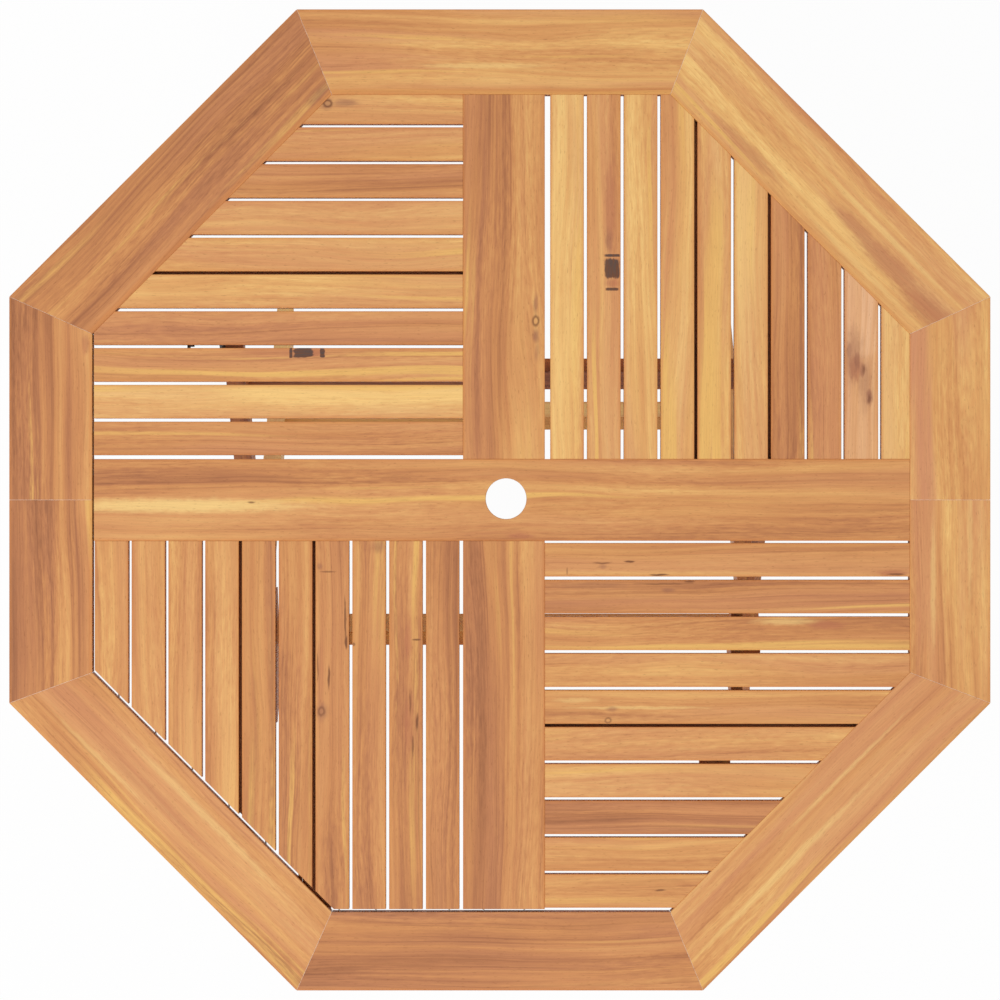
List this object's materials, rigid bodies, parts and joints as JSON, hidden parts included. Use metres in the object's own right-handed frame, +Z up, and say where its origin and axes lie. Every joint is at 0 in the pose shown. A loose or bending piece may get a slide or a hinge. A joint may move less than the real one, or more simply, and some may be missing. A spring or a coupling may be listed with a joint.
{
  "type": "folding garden table",
  "caption": "Octagonal slatted hardwood garden table with a mitred frame and parasol hole, on scissor legs that close while the top tilts up to fold flat.",
  "frame": {"origin": "on the floor under the middle of the octagonal top", "axes": "+Z up, +Y towards the rear of the top where the outer legs are hinged, +X to the right"},
  "size_m": [1.2, 1.2, 0.75],
  "materials": {
    "acacia": "oiled, satin",
    "dowel_wood": "bare",
    "black_steel": "satin",
    "zinc_steel": "zinc plated",
    "glide_plastic": "matte"
  },
  "bodies": {
    "outer_legs": {"left_outer_leg": "acacia", "right_outer_leg": "acacia", "outer_upper_rail": "acacia", "outer_lower_rail": "acacia", "outer_rail_screws": "zinc_steel", "crossing_bolts": "zinc_steel", "crossing_washers": "zinc_steel", "crossing_nuts": "zinc_steel", "outer_foot_glides": "glide_plastic"},
    "inner_legs": {"left_inner_leg": "acacia", "right_inner_leg": "acacia", "inner_upper_rail": "acacia", "inner_lower_rail": "acacia", "inner_rail_dowels": "dowel_wood", "inner_foot_glides": "glide_plastic"},
    "tabletop": {"batten_screws": "zinc_steel", "bracket_screws": "zinc_steel", "catch_block_screws": "zinc_steel", "centre_board": "acacia", "frame_dowels": "dowel_wood", "front_cleat": "acacia", "front_cross_board": "acacia", "front_frame_board": "acacia", "front_left_diagonal_frame_board": "acacia", "front_left_inner_batten": "acacia", "front_left_outer_batten": "acacia", "front_left_slats": "acacia", "front_pins": "zinc_steel", "front_right_batten": "acacia", "front_right_diagonal_frame_board": "acacia", "front_right_slats": "acacia", "left_angle_clip": "black_steel", "left_catch_block": "acacia", "left_front_frame_board": "acacia", "left_hinge_bracket": "black_steel", "left_rear_frame_board": "acacia", "pivot_spacers": "zinc_steel", "rear_cross_board": "acacia", "rear_frame_board": "acacia", "rear_left_batten": "acacia", "rear_left_diagonal_frame_board": "acacia", "rear_left_slats": "acacia", "rear_right_diagonal_frame_board": "acacia", "rear_right_inner_batten": "acacia", "rear_right_outer_batten": "acacia", "rear_right_slats": "acacia", "right_angle_clip": "black_steel", "right_catch_block": "acacia", "right_front_frame_board": "acacia", "right_hinge_bracket": "black_steel", "right_rear_frame_board": "acacia", "top_pivot_bolts": "zinc_steel", "top_pivot_nuts": "zinc_steel"}
  },
  "joints": [
    {"name": "top_tilt", "type": "hinge", "parent": "outer_legs", "child": "tabletop", "pos_m": [0.005, 0.177, 0.668], "axis": [-1, 0, 0], "range_deg": [0, 120]},
    {"name": "leg_fold", "type": "hinge", "parent": "outer_legs", "child": "inner_legs", "pos_m": [0.005, 0, 0.391], "axis": [-1, 0, 0], "range_deg": [0, 63]}
  ],
  "couplings": [
    {"joint": "leg_fold", "follows": "top_tilt", "ratio": 0.525}
  ]
}
